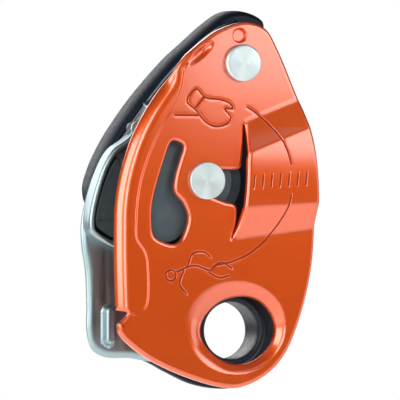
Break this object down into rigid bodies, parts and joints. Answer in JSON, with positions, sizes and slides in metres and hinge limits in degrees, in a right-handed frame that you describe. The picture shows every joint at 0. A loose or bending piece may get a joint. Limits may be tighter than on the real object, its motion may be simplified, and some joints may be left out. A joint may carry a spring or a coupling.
{
  "type": "rope grab",
  "caption": "Self-braking rope device: orange plate that swings open, fixed back plate, cam on an axle, friction plate and folding release handle.",
  "frame": {"origin": "on the axis of the attachment hole, half way between the two side plates", "axes": "+Z from the attachment hole up to the plate pivot, +Y from the front plate to the release handle, +X to the right seen from the front"},
  "size_m": [0.0722, 0.0364, 0.1189],
  "materials": {
    "orange_plate": "glossy orange anodised aluminium",
    "black_plate": "dark anodised aluminium",
    "stainless": "satin stainless steel",
    "turned_steel": "turned satin steel",
    "spring_steel": "oiled spring steel",
    "bronze": "plain sintered bronze",
    "slide_washer": "natural acetal",
    "hub_alloy": "black coated alloy",
    "black_nylon": "reinforced black nylon, fine moulded grain",
    "black_moulding": "dark moulded nylon"
  },
  "bodies": {
    "frame": {"fixed_side_plate": "black_plate", "friction_plate": "stainless", "friction_backing_block": "black_moulding", "friction_plate_rivets": "turned_steel", "plate_pivot_rivet": "turned_steel", "plate_pivot_spacer": "turned_steel", "plate_pivot_washer": "slide_washer", "cam_axle": "turned_steel", "cam_return_spring": "spring_steel", "axle_retaining_ring": "spring_steel"},
    "swing_plate": {"moving_side_plate": "orange_plate"},
    "cam_unit": {"cam": "stainless", "cam_bush": "bronze", "cam_front_washer": "stainless", "cam_drive_pin": "turned_steel"},
    "handle_base": {"handle_hub": "hub_alloy", "handle_hub_bush": "bronze", "handle_hub_cap": "black_moulding", "handle_hinge_pin": "turned_steel", "handle_fold_spring": "spring_steel"},
    "lever": {"handle_lever": "black_nylon"}
  },
  "joints": [
    {"name": "side_plate_swing", "type": "hinge", "parent": "frame", "child": "swing_plate", "pos_m": [0.001, 0, 0.08375], "axis": [0, 1, 0], "range_deg": [0, 100]},
    {"name": "cam_rotate", "type": "hinge", "parent": "frame", "child": "cam_unit", "pos_m": [-0.0109, 0, 0.0469], "axis": [0, 1, 0], "range_deg": [0, 22], "stiffness_Nm_per_rad": 0.03, "springref_deg": -22.92},
    {"name": "handle_turn", "type": "hinge", "parent": "frame", "child": "handle_base", "pos_m": [-0.0109, 0, 0.0469], "axis": [0, 1, 0], "range_deg": [-75, 0], "stiffness_Nm_per_rad": 0.03, "springref_deg": 34.38},
    {"name": "handle_unfold", "type": "hinge", "parent": "handle_base", "child": "lever", "pos_m": [-0.0354, 0.017, 0.035], "axis": [-0.3156, 0, 0.9489], "range_deg": [0, 175], "stiffness_Nm_per_rad": 0.004, "springref_deg": -45.84}
  ]
}
